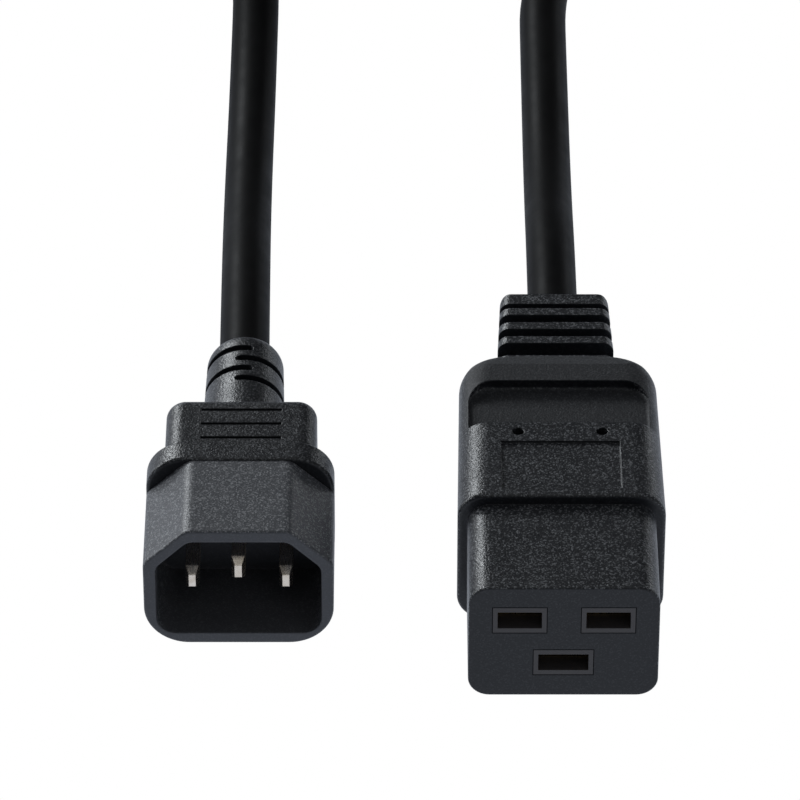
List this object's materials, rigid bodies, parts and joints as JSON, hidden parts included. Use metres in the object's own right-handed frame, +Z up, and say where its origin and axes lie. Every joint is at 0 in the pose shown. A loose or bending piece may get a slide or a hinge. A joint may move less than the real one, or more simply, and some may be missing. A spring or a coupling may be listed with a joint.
{
  "type": "power extension cord",
  "caption": "Moulded power extension cord: a shrouded flat-pin plug and a slotted connector on one round lead, its spare length coiled and tied.",
  "frame": {"origin": "bottom centre of the two moulded ends as they lie side by side on the floor, without the lead", "axes": "+Z up from the floor, -Y the way both mating faces look, +X from the plug to the connector"},
  "size_m": [0.1075, 0.3133, 0.024],
  "materials": {
    "overmould": "fine moulded grain",
    "shroud": "fine satin",
    "insert": "satin",
    "pin_metal": "nickel plated",
    "contact_metal": "bright",
    "core_line": "smooth",
    "core_neutral": "smooth",
    "core_earth": "smooth",
    "conductor_metal": "bright copper",
    "jacket": "satin",
    "tie": "woven strap"
  },
  "bodies": {
    "root": {"coil_tie": "tie", "connector_earth_conductor": "conductor_metal", "connector_earth_contact": "contact_metal", "connector_earth_core": "core_earth", "connector_insert": "insert", "connector_line_conductor": "conductor_metal", "connector_line_contact": "contact_metal", "connector_line_core": "core_line", "connector_neutral_conductor": "conductor_metal", "connector_neutral_contact": "contact_metal", "connector_neutral_core": "core_neutral", "connector_overmould": "overmould", "cord_coil": "jacket", "cord_connector_end": "jacket", "cord_plug_end": "jacket", "plug_earth_conductor": "conductor_metal", "plug_earth_core": "core_earth", "plug_earth_pin": "pin_metal", "plug_line_conductor": "conductor_metal", "plug_line_core": "core_line", "plug_line_pin": "pin_metal", "plug_neutral_conductor": "conductor_metal", "plug_neutral_core": "core_neutral", "plug_neutral_pin": "pin_metal", "plug_overmould": "overmould", "plug_shroud": "shroud"}
  },
  "joints": []
}
